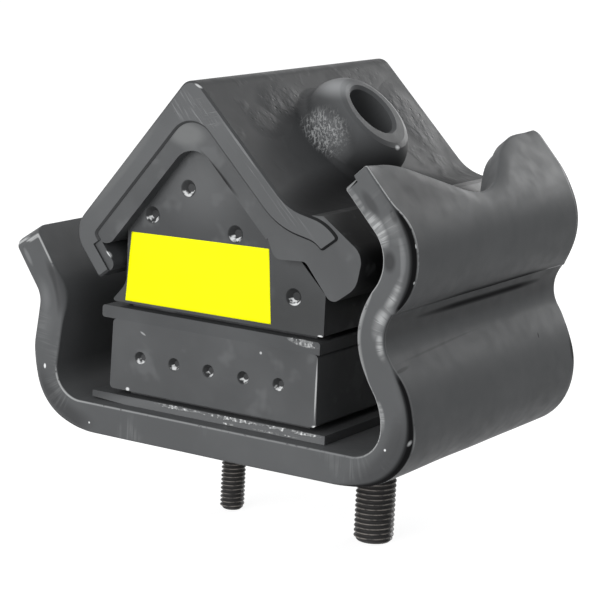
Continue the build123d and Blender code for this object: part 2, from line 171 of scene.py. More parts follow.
@dataclass(frozen=True)
class Ground(Value):
    """Coordinates that patterns are laid out on, in metres."""

    def noise(self, size_mm: float, detail: float = 3.0) -> Value:
        """Noise whose lumps have a size in millimetres, with so many octaves of finer noise."""
        settings = {"Vector": self, "Scale": 1 / (size_mm * MM), "Detail": detail}
        return Value(self.tree, add(self.tree, "TexNoise", settings).outputs[0])

    def scratches(self, turn: Place, sizes_mm: Place, low: float = 0.5, rise: float = 0.16) -> Value:
        """Thin streaks: noise on turned and stretched coordinates, kept above a level.

        Args:
            turn: how the coordinates are turned first, in degrees.
            sizes_mm: size of a streak along each turned axis.
            low: level at which a streak starts.
            rise: how far over that level it is whole.

        Returns:
            Share from 0 between the streaks to 1 on them.
        """
        angles = [math.radians(a) for a in turn]
        turned = add(self.tree, "Mapping", {"Vector": self, "Rotation": angles}).outputs[0]
        drawn = add(self.tree, "Mapping", {"Vector": turned, "Scale": [1 / (s * MM) for s in sizes_mm]})
        settings = {"Vector": drawn.outputs[0], "Scale": 1.0, "Detail": 3.0, "Distortion": 0.5}
        return Value(self.tree, add(self.tree, "TexNoise", settings).outputs[0]).rise(low, low + rise)

    def at(self, *marks: Mark) -> Value:
        """Largest strength of some marks, each falling to 0 at its skin, by |R^-1 (p - centre) / reach|."""
        shares = []
        for mark in marks:
            settings = {
                "Vector": self,
                "Location": [c * MM for c in mark.centre],
                "Rotation": [math.radians(a) for a in mark.turn],
                "Scale": [r * MM for r in mark.reach],
            }
            inside = add(self.tree, "Mapping", settings, vector_type="TEXTURE")
            far = add(self.tree, "VectorMath", {0: inside.outputs[0]}, operation="LENGTH")
            share = Value(self.tree, far.outputs["Value"]).rise(1.0, 1.0 - mark.soft)
            shares.append(share if mark.strength == 1.0 else share * mark.strength)
        return reduce(or_, shares)


def waviness(points: Array, size: float, seed: int, waves: int = 24) -> Array:
    """Smooth noise of about unit height at points in space.

    It is sum_k sin(2 pi d_k . p / size_k + phase_k) * sqrt(2 / waves), with random directions d_k
    and sizes spread by a third round the size.

    Args:
        points: array whose last axis is X, Y, Z.
        size: length of a typical wave, in the points' unit.
        seed: fixes the noise.
        waves: how many waves are added up.

    Returns:
        Heights, in the shape of the points without their last axis.
    """
    random = np.random.default_rng(seed)
    directions = random.normal(size=(waves, 3))
    directions /= np.linalg.norm(directions, axis=1, keepdims=True)
    directions /= size * random.uniform(0.67, 1.5, size=(waves, 1))
    phases = random.uniform(0, 2 * np.pi, waves)
    return np.sin(points @ directions.T * 2 * np.pi + phases).sum(-1) * math.sqrt(2 / waves)


def piece_from_grid(
    name: str,
    points: Array,
    closed: bool,
    material: bpy.types.Material,
    attributes: Mapping[str, Array] | None = None,
) -> bpy.types.Object:
    """Makes a mesh object from a grid of points.

    Args:
        name: the piece's name.
        points: rows x columns x 3, in millimetres.
        closed: whether the last column joins the first.
        material: its finish.
        attributes: values per point, rows x columns, or rows x columns x 3 for a vector.

    Returns:
        The object, riding on the mount's one body.
    """
    rows, columns = points.shape[:2]
    numbers = np.arange(rows * columns).reshape(rows, columns)
    if closed:
        numbers = np.concatenate([numbers, numbers[:, :1]], axis=1)
    corners = [numbers[:-1, :-1], numbers[:-1, 1:], numbers[1:, 1:], numbers[1:, :-1]]
    faces = np.stack(corners, axis=-1).reshape(-1, 4)
    mesh = bpy.data.meshes.new(name)
    mesh.from_pydata((points.reshape(-1, 3) * MM).tolist(), [], faces.tolist())
    for title, values in (attributes or {}).items():
        vector = values.ndim == 3
        attribute = mesh.attributes.new(title, "FLOAT_VECTOR" if vector else "FLOAT", "POINT")
        attribute.data.foreach_set("vector" if vector else "value", values.astype(np.float32).ravel())
    mesh.shade_smooth()
    mesh.materials.append(material)
    piece = bpy.data.objects.new(name, mesh)
    bpy.context.scene.collection.objects.link(piece)
    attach(piece, "root")
    return piece


def close_mesh(piece: bpy.types.Object, reach: float = 0.02) -> None:
    """Merges a piece's doubled points and turns its faces outwards.

    Args:
        piece: the object.
        reach: how near two points are merged, in millimetres.
    """
    shape = bmesh.new()
    shape.from_mesh(piece.data)
    bmesh.ops.remove_doubles(shape, verts=shape.verts, dist=reach * MM)
    bmesh.ops.recalc_face_normals(shape, faces=shape.faces)
    shape.to_mesh(piece.data)
    shape.free()


# Finishes


@dataclass(frozen=True)
class Finish:
    """What every finish has: a name, and a new material to lay it in."""

    name: str

    def blank(self) -> tuple[bpy.types.Material, bpy.types.Node, bpy.types.Node, Ground]:
        """New material, with its shader, its texture coordinates and the ground on Object coordinates."""
        material = bpy.data.materials.new(self.name)
        material.use_nodes = True
        tree = material.node_tree
        coordinates = add(tree, "TexCoord")
        return material, tree.nodes["Principled BSDF"], coordinates, Ground(tree, coordinates.outputs["Object"])


@dataclass(frozen=True)
class SprayPaint(Finish):
    """Black satin alkyd paint sprayed over parts of steel and rubber after assembly.

    The eye sees a dark neutral grey with broad soft highlights, duller where dust stuck to it.
    """

    name: str = "sprayed_paint"
    colour: str = "4f5051"
    dusty: str = "555657"
    # Light colour of worn edges with their painted highlight, and of painted glints
    rubbed_and_highlight: str = "a2a3a3"
    # Colour and roughness where the film lays painted shade
    shade_colour: str = "141415"
    roughness: float = 0.4
    dull_roughness: float = 0.52
    shade_roughness: float = 0.9
    specular: float = 0.12
    coverage: Coverage = Coverage.FULL
    # Sprayed film's orange peel is about 0.6 mm from crest to crest; drawn at 0.9 mm so that it shows
    peel_mm: float = 0.9
    peel_height_mm: float = 0.008
    cloud_mm: float = 30.0

    def shell(self) -> tuple[bpy.types.Material, bpy.types.Node, bpy.types.Node, Ground]:
        """A blank material whose shader has the paint's own gloss."""
        material, shader, coordinates, ground = self.blank()
        shader.inputs["IOR"].default_value = 1.5
        shader.inputs["Specular IOR Level"].default_value = self.specular
        return material, shader, coordinates, ground

    def film(
        self,
        shader: bpy.types.Node,
        ground: Ground,
        relief: Value,
        relief_mm: float,
        tints: Sequence[tuple[Value, str]],
        shade_share: Value | None = None,
    ) -> None:
        """Lays the paint film: clouded colour, clouded gloss, orange peel, and the relief under it.

        Args:
            shader: the material's shader.
            ground: coordinates that the clouds and the peel follow.
            relief: height of the surface under the paint, 0 to 1.
            relief_mm: height of that relief in millimetres.
            tints: shares of further colours, laid in turn.
            shade_share: share of painted shade, black and without gloss, or nothing.
        """
        tree = ground.tree
        colour = ground.noise(self.cloud_mm).rise(0.35, 0.75).mix(linear(self.colour), linear(self.dusty))
        if shade_share is not None:
            colour = shade_share.mix(colour, linear(self.shade_colour))
        for share, tint in tints:
            colour = share.mix(colour, linear(tint))
        tree.links.new(colour.socket, shader.inputs["Base Color"])
        gloss = {"Value": ground.noise(self.cloud_mm / 5), "From Min": 0.3, "From Max": 0.7}
        gloss |= {"To Min": self.roughness, "To Max": self.dull_roughness}
        rough = Value(tree, add(tree, "MapRange", gloss).outputs[0])
        if shade_share is not None:
            rough = rough | shade_share * self.shade_roughness
        tree.links.new(rough.socket, shader.inputs["Roughness"])
        peel = {"Height": ground.noise(self.peel_mm, 1.0), "Distance": self.peel_height_mm * MM, "Strength": 1.0}
        depth = relief_mm * MM * self.coverage.value
        normal = add(tree, "Bump", peel).outputs[0]
        bump = add(tree, "Bump", {"Height": relief, "Distance": depth, "Strength": 1.0, "Normal": normal})
        tree.links.new(bump.outputs[0], shader.inputs["Normal"])


@dataclass(frozen=True)
class SprayedForging(SprayPaint):
    """Paint over the skin of a drop forging, shot-blasted, with dressed end faces.

    The eye sees lumps and pits a few millimetres wide on the slopes, and fine grinding marks on the ends.
    """

    name: str = "forged_steel_sprayed"
    colour: str = "555657"
    dusty: str = "5b5c5d"
    coverage: Coverage = Coverage.THIN
    highlight_colour: str = "6a6b6b"
    lit_colour: str = "a6a7a8"
    speck_and_glint_colour: str = "d0d1d1"
    lump_mm: float = 5.0
    lump_height_mm: float = 0.6
    pit_mm: float = 3.2
    patch_mm: float = 14.0
    # An 80 grit wheel leaves scratches about 0.2 mm apart; drawn at 0.8 mm so that they show
    scratch_mm: float = 0.8
    scratched_colour: str = "7e7f80"
    specular: float = 0.09
    # Skin that stayed rough: above the boss, left of it, along the far edge, and on the boss's flank
    rough_skin: tuple[Mark, ...] = (
        Mark((-2, -24, 131), (13, 20, 11)),
        Mark((2, -46, 125), (9, 12, 9), strength=0.6),
        Mark((9, 56, 120), (22, 14, 22), strength=0.8),
        Mark((-7, 38, 136), (8, 26, 8), strength=0.5),
        Mark((12.5, -20.5, 121.5), (11, 8, 10)),
    )
    smooth_boss: Mark = Mark((18, 0, 122), (25, 22, 25), soft=0.2)
    # Where painted glints lie on the boss's flank
    flank_patch: Mark = Mark((13, -20.5, 120.5), (13, 9, 12))
    crown_scratches: Mark = Mark((-18.5, -70, 132), (6.5, 3, 7))
    crossed_scratches: Mark = Mark((-8.5, -70, 129.5), (9, 3, 7.5))
    leg_scratches: Mark = Mark((17.5, -70, 110.5), (38, 3, 5), (0, 45, 0))
    # Painted shade low in the valley by the hook
    valley_shade: Mark = Mark((42, -20, 90), (46, 110, 41), soft=0.6, strength=0.95)
    boss_light: Mark = Mark((13, -11, 139), (14, 13, 7.5), soft=1, strength=0.75)
    # Painted highlights: along the left leg's front face, and along the ridge
    left_shine: Mark = Mark((-44, -70, 106), (30, 3, 2.6), (0, -51.3, 0), strength=0.45)
    ridge_highlight: Mark = Mark((-14, 0, 141.5), (3, 82, 3.2), strength=0.55)
    # Bright specks, some of them painted glints, such as the one at the left foot's tip
    specks_and_glints: tuple[Mark, ...] = (
        Mark((36, -1.5, 116), (1.6, 2.4, 1.6)),
        Mark((-11.8, -70, 139.5), (2.2, 2, 0.5), (0, 25, 0), strength=0.7),
        Mark((-47.6, -69.5, 70.2), (0.8, 2.5, 4.5), (0, 30, 0)),
        Mark((39.5, -48.9, 95.5), (1.1, 1.2, 0.8), strength=0.8),
        Mark((41.6, -50.8, 93.4), (0.8, 0.8, 0.7), strength=0.8),
        Mark((36.4, -40, 99), (1.4, 0.7, 0.7), strength=0.6),
    )

    def build(self) -> bpy.types.Material:
        """Makes the material."""
        material, shader, coordinates, ground = self.shell()
        tree = material.node_tree
        facing = add(tree, "SeparateXYZ", {0: coordinates.outputs["Normal"]})
        end = abs(Value(tree, facing.outputs["Y"])).rise(0.8, 0.95)
        slope = 1.0 - end
        cells = add(tree, "TexVoronoi", {"Vector": ground, "Scale": 1 / (self.pit_mm * MM), "Randomness": 1.0})
        pits = Value(tree, cells.outputs["Distance"]).rise(0.0, 0.3)
        off_boss = 1.0 - ground.at(self.smooth_boss)
        patches = ground.noise(self.patch_mm).rise(0.5, 0.7) * off_boss * 0.35
        skin = (ground.noise(self.lump_mm, 4.0) + pits * 0.3) * (ground.at(*self.rough_skin) | patches) * slope
        crown = ground.scratches((0, -51, 0), (14.0, 4.0, self.scratch_mm)) * ground.at(self.crown_scratches)
        one_way, other_way = (ground.scratches((0, turn, 0), (9.0, 4.0, 0.6), 0.52) for turn in (-48, 15))
        crossed = (one_way | other_way) * ground.at(self.crossed_scratches)
        leg = ground.scratches((0, -45, 0), (26.0, 4.0, 0.7)) * ground.at(self.leg_scratches)
        scratched = (crown | crossed | leg) * end
        # Painted glints: short crossed strokes on the boss's flank, in the worn-edge colour
        steep = ground.scratches((35, 20, 0), (0.65, 0.65, 5.0))
        level = ground.scratches((-20, -40, 0), (0.65, 4.5, 0.65), 0.52)
        glint = (steep | level) * ground.noise(5.0, 2.0).rise(0.28, 0.44) * ground.at(self.flank_patch)
        # Painted highlight, patchy, along the ridge's top
        lit_ridge = ground.noise(9.0).rise(0.3, 0.6) * ground.at(self.ridge_highlight)
        # Painted shade in the valley by the hook, and half as dark over the slopes off the boss
        painted_shades = ground.at(self.valley_shade) | off_boss * 0.5
        tints = [
            (lit_ridge | ground.at(self.left_shine), self.highlight_colour),
            (ground.at(self.boss_light) * slope, self.lit_colour),
            (scratched * 0.7, self.scratched_colour),
            (glint * 0.8, self.rubbed_and_highlight),
            (ground.at(*self.specks_and_glints), self.speck_and_glint_colour),
        ]
        self.film(shader, ground, skin - scratched * 0.25, self.lump_height_mm, tints, painted_shades * slope)
        return material


@dataclass(frozen=True)
class SprayedStrip(SprayPaint):
    """Paint over hot-bent hot-rolled flat bar, its ends sheared and its hook's edge stamped.

    The eye sees smooth broad faces, streaks smeared through the thickness on the sheared ends, rolled-over corners
    with a dark crescent of painted shade, and worn edges with a painted highlight. It reads the strip's own
    coordinates (along, through, across, in metres) from the attribute "strip", and the shares of sheared face, worn
    and highlighted edge, and painted shade from attributes.
    """

    name: str = "rolled_strip_sprayed"
    colour: str = "535455"
    dusty: str = "595a5b"
    specular: float = 0.07
    smeared_colour: str = "b2b3b3"
    shaded_colour: str = "2c2c2d"
    highlight_colour: str = "747576"
    speck_and_glint_colour: str = "dcdddd"
    # Smears of a shear blade are about 0.5 mm apart; drawn at 1.3 mm so that they show
    streak_mm: float = 1.3
    streak_length_mm: float = 20.0
    streak_height_mm: float = 0.25
    # Places on the front end face, in the strip's coordinates
    smears: tuple[Mark, ...] = (
        Mark((311.5, -4.4, -70), (10, 4.2, 3)),
        Mark((309.5, 1.2, -70), (5.5, 4.5, 3), soft=1, strength=0.5),
        Mark((285, 2.2, -70), (9, 2.4, 3), soft=1, strength=0.9),
        Mark((274, 2.9, -70), (11, 3.4, 3), soft=1),
        Mark((263.5, 4.2, -70), (10, 2.2, 3), soft=1),
        Mark((236, -5, -70), (8.5, 1.6, 3), strength=0.7),
        Mark((325, -4.6, -70), (9, 1.8, 3), strength=0.35),
    )
    # Painted shade on the outer face: before the hook's edge, along the waist's lower seam, and at two back corners
    painted_shades: tuple[Mark, ...] = (
        Mark((317, 6, -48), (17, 4, 34), soft=0.9, strength=0.5),
        Mark((254.4, 6, -31), (0.8, 2, 42), (0, 3.3, 0), soft=0.9, strength=0.4),
        Mark((250, 6, -64), (1, 2, 7), (0, 5.4, 0), strength=0.5),
        Mark((237.5, 6, 70), (8, 3, 5.5), soft=0.3, strength=0.8),
        Mark((306.5, 6, 70), (7, 3, 4), soft=0.4, strength=0.5),
        Mark((246, 6, 42), (1.4, 2, 0.5), (0, -25, 0), strength=0.8),
    )
    # Painted highlights on the front end face
    plain_shine: tuple[Mark, ...] = (
        Mark((298, 2.4, -70), (9, 1.5, 3), strength=0.7),
        Mark((25, 2.6, -70), (13, 3.6, 3), soft=1, strength=0.5),
        Mark((6, 3.2, -70), (5, 1.2, 3), strength=0.7),
        Mark((36, 1.5, -70), (11, 5, 3), soft=1, strength=0.2),
    )
    shades: tuple[Mark, ...] = (
        Mark((297, -3.2, -70), (6, 3.4, 3), strength=0.7),
        Mark((321, -0.6, -70), (7, 2.4, 3), strength=0.45),
        Mark((21, -4.2, -70), (12, 2.8, 3), strength=0.6),
        Mark((312, 4.2, -70), (3.2, 1.6, 3), (0, 0, 20), strength=0.6),
        Mark((219, 2, -70), (22, 7, 3), strength=0.45),
        Mark((70, 2, -70), (20, 7, 3), strength=0.5),
    )
    # Bright specks, some of them painted glints, such as the thin line at the crease's far end
    strip_specks_and_glints: tuple[Mark, ...] = (
        Mark((52.8, -0.4, -70), (1.3, 0.7, 2)),
        Mark((84.9, 2, -70), (0.5, 0.5, 2)),
        Mark((222, -1.8, -70), (0.7, 0.6, 2)),
        Mark((227.6, 5.8, -69), (1.8, 0.8, 3), (0, 0, 25)),
        Mark((280.2, 6, 60), (0.45, 2.5, 9), strength=0.55),
        Mark((291, 6, -66.4), (0.6, 0.7, 0.6)),
        Mark((301.5, 6, -66.2), (1.1, 0.7, 0.5), (0, 0, 40)),
    )

    def build(self) -> bpy.types.Material:
        """Makes the material."""
        material, shader, _, ground = self.shell()
        tree = material.node_tree
        strip = Ground(tree, add(tree, "Attribute", attribute_name="strip").outputs["Vector"])
        sheared, worn, rolled = (
            Value(tree, add(tree, "Attribute", attribute_name=name).outputs["Fac"])
            for name in ("sheared", "worn", "rolled")
        )
        streaks = strip.scratches((0, 0, 0), (self.streak_mm, self.streak_length_mm, 50.0), 0.42)
        faint = streaks * strip.noise(20.0).rise(0.5, 0.7) * sheared * 0.1
        smears = strip.at(*self.smears) * (streaks * 0.4 + 0.32)
        smeared = (smears | faint) * sheared
        tints = [
            (strip.at(*self.shades) * sheared, self.shaded_colour),
            (strip.at(*self.plain_shine) * sheared, self.highlight_colour),
            (smeared, self.smeared_colour),
            # Worn edges, lighter with wear and a painted highlight
            (worn * strip.noise(1.6, 2.0).rise(0.28, 0.42), self.rubbed_and_highlight),
            (strip.at(*self.strip_specks_and_glints), self.speck_and_glint_colour),
        ]
        # Painted shade: the rolled corners, the crease, the waist and the marks on the outer face
        shade_share = rolled | strip.at(*self.painted_shades)
        self.film(shader, ground, smeared, self.streak_height_mm, tints, shade_share)
        return material


@dataclass(frozen=True)
class SprayedRubber(SprayPaint):
    """Paint over moulded natural rubber, smooth from the mould.

    The eye sees an even dark grey, a little shinier than the steel, pits painted dark with a painted highlight on
    their upward walls, and bright moulding fins with painted glints.
    """

    name: str = "moulded_rubber_sprayed"
    colour: str = "48494a"
    dusty: str = "505152"
    roughness: float = 0.28
    dull_roughness: float = 0.42
    specular: float = 0.17
    coverage: Coverage = Coverage.FLOODED
    blister_mm: float = 9.0
    blister_height_mm: float = 0.1
    face_mm: float = -63.5
    stained_colour: str = "6b6c6d"
    lighter_colour: str = "5d5e5f"
    foot_shade_colour: str = "303131"
    cap_highlight_colour: str = "6f7070"
    pit_highlight_colour: str = "e4e5e5"
    flash_and_glint_colour: str = "d4d5d5"
    # Painted highlight on the band's rounded top under the apex
    band_cap_highlight: Mark = Mark((-17, -69, 121), (11, 4, 6), strength=0.7)
    # Painted light over the wedge's upper face
    lit_top: Mark = Mark((-14, -63.5, 103), (30, 5, 26), soft=1, strength=0.75)
    # Painted shade low on the wedge's right
    shaded_foot: Mark = Mark((30, -63.5, 58), (34, 4, 20), soft=0.8, strength=0.6)
    # Painted shade in the valley between the saddle and the hook
    valley_shade: Mark = Mark((48, -20, 84), (36, 95, 34), soft=0.5)
    # Painted shadow along the crease between the band and the wedge
    band_crease_shadow: Mark = Mark((-1.9, -67, 108.2), (14, 8, 1.2), (0, 41, 0))
    # Specks of moulding flash, and painted glints on the left lip and the pedestal's right edge
    flash_and_glints: tuple[Mark, ...] = (
        Mark((-46.3, -67, 74), (0.9, 5, 3), (0, 30, 0), strength=0.8),
        Mark((-50.1, -66, 60.3), (1.2, 3, 0.8), strength=0.6),
        Mark((-49.9, -69, 70.9), (0.6, 2, 2.6), (0, -53, 0)),
        Mark((44, -46.1, 46.8), (4, 1.5, 0.5), strength=0.7),
        Mark((44, -47.9, 16), (4, 1.5, 0.6), strength=0.8),
        Mark((-43.3, -63.5, 18.4), (1.1, 1.5, 0.9)),
        Mark((41.9, -63.5, 52.4), (1.4, 2, 0.6)),
        Mark((42, -63.5, 18.1), (2.2, 2.5, 0.7)),
        Mark((-37, -63.5, 41.3), (1.8, 1, 0.5), (0, 25, 0), strength=0.35),
        Mark((16.6, -63.5, 42.2), (0.7, 1, 0.7), strength=0.6),
        Mark((41.2, -63.8, 32), (0.5, 1.5, 15), strength=0.5),
    )

    def build(self) -> bpy.types.Material:
        """Makes the material."""
        material, shader, coordinates, ground = self.shell()
        tree = material.node_tree
        facing = add(tree, "SeparateXYZ", {0: coordinates.outputs["Normal"]})
        facing_y, facing_z = (Value(tree, facing.outputs[axis]) for axis in "YZ")
        y = Value(tree, add(tree, "SeparateXYZ", {0: ground}).outputs["Y"])
        front = y.rise((self.face_mm + 5.5) * MM, (self.face_mm + 3.0) * MM)
        sunk = y.rise((self.face_mm + 0.1) * MM, (self.face_mm + 0.5) * MM)
        # Painted shade inside the pits and shallow recesses of the face, and a painted highlight on their walls that
        # face up
        hollow = front * sunk * facing_y.rise(-0.2, -0.5)
        pit_highlights = hollow * facing_z.rise(0.2, 0.42) * ground.noise(2.0, 2.0).rise(0.4, 0.6)
        stains = ground.noise(12.0, 2.0).rise(0.58, 0.7)
        tints = [
            (stains * 0.3, self.stained_colour),
            (ground.at(self.lit_top), self.lighter_colour),
            (ground.at(self.shaded_foot), self.foot_shade_colour),
            (ground.at(self.band_cap_highlight), self.cap_highlight_colour),
            (ground.at(self.band_crease_shadow), self.shade_colour),
            # Painted shade in the pits, then their painted highlight
            (hollow * 0.55, self.shade_colour),
            (pit_highlights * 0.9, self.pit_highlight_colour),
            (ground.at(*self.flash_and_glints), self.flash_and_glint_colour),
        ]
        blisters = ground.noise(self.blister_mm, 2.0).rise(0.5, 0.8)
        # Painted shade in the valley, off the front and back faces
        shade_share = ground.at(self.valley_shade) * abs(facing_y).rise(0.8, 0.5)
        self.film(shader, ground, blisters, self.blister_height_mm, tints, shade_share)
        return material


@dataclass(frozen=True)
class SprayedPlate(SprayPaint):
    """Paint over flame-cut plate whose ends were left rough.

    The eye sees a dull dark face, and a thin ragged line of spatter where the paint broke on the burr.
    """

    name: str = "cut_plate_sprayed"
    colour: str = "474849"
    dusty: str = "4f5051"
    roughness: float = 0.42
    dull_roughness: float = 0.56
    ragged_colour: str = "cfd0d0"
    lighter_colour: str = "646566"
    torn_colour: str = "858686"
    burr_colour: str = "8e8f8f"
    relief_mm: float = 0.3
    # Drag lines of a flame cut are about 1 mm apart
    drag_mm: float = 1.1
    burrs: tuple[Mark, ...] = (
        Mark((-20, -64, 14.8), (12, 3, 0.9), soft=0.3, strength=0.8),
        Mark((4, -64, 14.7), (15, 3, 0.9), soft=0.3),
        Mark((31, -64, 14.7), (16, 3, 0.9), soft=0.3),
        Mark((4, -64, 12.6), (3.2, 3, 0.6), soft=0.3),
        Mark((24, -64, 12.6), (12, 3, 0.5), soft=0.3, strength=0.7),
    )
    dusted_edge: Mark = Mark((0, -63.5, 12.4), (62, 2, 6), soft=0.3, strength=0.8)
    tear: Mark = Mark((34.8, -63.5, 48.9), (7.4, 2, 1.7), (0, 6, 0), soft=0.3)

    def build(self) -> bpy.types.Material:
        """Makes the material."""
        material, shader, _, ground = self.shell()
        drag = ground.noise(self.drag_mm, 5.0)
        coarse = ground.noise(1.7, 4.0)
        ragged = coarse.rise(0.42, 0.54) * ground.at(*self.burrs)
        torn = coarse.rise(0.4, 0.6) * ground.at(self.tear)
        bright = drag.rise(0.5, 0.62) * ground.at(self.tear)
        tints = [
            (ground.at(self.dusted_edge), self.lighter_colour),
            (torn * 0.9, self.torn_colour),
            (bright * 0.5, self.ragged_colour),
            (ragged * 0.85, self.burr_colour),
            (ragged * ground.noise(1.1).rise(0.52, 0.6), self.ragged_colour),
        ]
        self.film(shader, ground, drag * 0.25 + (ragged | torn), self.relief_mm, tints)
        return material


@dataclass(frozen=True)
class BlackenedThread(SprayPaint):
    """Hot-rolled black-oxide stud with a rolled thread, oiled.

    The eye sees near-black flanks, and fine bright lines along worn crests.
    """

    name: str = "black_oxide_thread"
    colour: str = "3a3939"
    dusty: str = "464443"
    roughness: float = 0.32
    dull_roughness: float = 0.48
    crest_colour: str = "85807b"

    def build(self) -> bpy.types.Material:
        """Makes the material."""
        material, shader, _, ground = self.shell()
        crest = Value(ground.tree, add(ground.tree, "Attribute", attribute_name="crest").outputs["Fac"])
        worn = crest.rise(0.75, 1.0) * ground.noise(3.0).rise(0.3, 0.6)
        self.film(shader, ground, ground.noise(0.8), 0.05, [(worn, self.crest_colour)])
        return material


@dataclass(frozen=True)
class LabelFilm(Finish):
    """Bare yellow vinyl label, printed with nothing.

    The eye sees a flat strong yellow with a soft sheen and the faintest unevenness of the film.
    """

    name: str = "yellow_vinyl"
    colour: str = "ffff00"
    faded: str = "fdfd00"
    roughness: float = 0.5
    specular: float = 0.12
    cloud_mm: float = 1000 / 90
    grain_mm: float = 2.5
    grain_height_mm: float = 0.02

    def build(self) -> bpy.types.Material:
        """Makes the material."""
        material, shader, _, ground = self.blank()
        tree = material.node_tree
        tone = ground.noise(self.cloud_mm, 2.0).mix(linear(self.colour), linear(self.faded))
        tree.links.new(tone.socket, shader.inputs["Base Color"])
        shader.inputs["Roughness"].default_value = self.roughness
        shader.inputs["Specular IOR Level"].default_value = self.specular
        relief = {"Height": ground.noise(self.grain_mm, 2.0), "Distance": self.grain_height_mm * MM, "Strength": 1.0}
        tree.links.new(add(tree, "Bump", relief).outputs[0], shader.inputs["Normal"])
        return material


@dataclass(frozen=True)
class PaleSweep(Finish):
    """White paper sweep that reads as clean white to the camera and in gloss, and still takes a soft shadow."""

    name: str = "paper_sweep"
    colour: str = "9c9c9c"
    bright: str = "a0a0a0"
    glow: float = 0.86
    fibre_mm: float = 1000 / 600

    def build(self) -> bpy.types.Material:
        """Makes the material."""
        material, shader, _, ground = self.blank()
        tree = material.node_tree
        tree.nodes.remove(shader)
        fibre = ground.noise(self.fibre_mm, 2.0)
        paper = add(tree, "BsdfDiffuse", {"Color": fibre.mix(linear(self.colour), linear(self.bright))})
        dark, glow = (add(tree, "Emission", {"Strength": power}).outputs[0] for power in (0.0, self.glow))
        extra = add(tree, "MixShader", {0: seen_rays(tree), 1: dark, 2: glow})
        both = add(tree, "AddShader", {0: paper.outputs[0], 1: extra.outputs[0]})
        tree.links.new(both.outputs[0], tree.nodes["Material Output"].inputs["Surface"])
        return material


def seen_rays(tree: Tree) -> Value:
    """1 for rays from the camera, from gloss and through glass, and 0 for the rest."""
    rays = add(tree, "LightPath").outputs
    camera, gloss, glass = (Value(tree, rays[f"Is {kind} Ray"]) for kind in ("Camera", "Glossy", "Transmission"))
    return camera | (gloss | glass)


# Pieces


@dataclass(frozen=True)
class Move:
    """One stretch of a bent strip: straight for a length, or turned through an angle on a radius."""

    size: float
    angle: float = 0.0

    @property
    def length(self) -> float:
        """Length along the middle of the strip."""
        return self.size * math.radians(abs(self.angle)) if self.angle else self.size

    @property
    def curvature(self) -> float:
        """Turn per millimetre, to the left where positive."""
        return math.copysign(1 / self.size, self.angle) if self.angle else 0.0


@dataclass(frozen=True)
class Horn:
    """One side of the hook's scalloped edge: a flank between two bends, then a straight horn with a corner."""

    drop: float
    slope: float
    shoulder: float
    corner: float

    def fall(self, out: Array, depth: float, valley: float, half: float, shift: float) -> Array:
        """How far this side of the edge lies below the strip's tip.

        It rises by R - sqrt(R^2 - w^2) in the valley, by w tan(slope) on the flank and by
        H - S + sqrt(S^2 - (W - w)^2) on the shoulder, and falls again round the corner.

        Args:
            out: distances from the scallop's lowest point.
            depth: the scallop's depth.
            valley: the valley's radius.
            half: half the strip's width.
            shift: how far the lowest point lies from the middle, on this side.

        Returns:
            Distances below the tip.
        """
        angle = math.radians(self.slope)
        height = depth - self.drop
        run = (height - (valley + self.shoulder) * (1 - math.cos(angle))) / math.sin(angle)
        flank = valley * math.sin(angle)
        bend = flank + run * math.cos(angle)
        end = bend + self.shoulder * math.sin(angle)
        hollow = valley - np.sqrt(np.maximum(valley**2 - np.minimum(out, flank) ** 2, 0))
        straight = np.clip(out - flank, 0, bend - flank) * math.tan(angle)
        left = np.clip(end - out, 0, end - bend)
        swell = np.sqrt(self.shoulder**2 - left**2) - math.sqrt(self.shoulder**2 - (end - bend) ** 2)
        rise = hollow + straight + swell
        inside = np.clip(self.corner - (half - shift - out), 0, self.corner)
        return depth - rise + self.corner - np.sqrt(np.maximum(self.corner**2 - inside**2, 0))


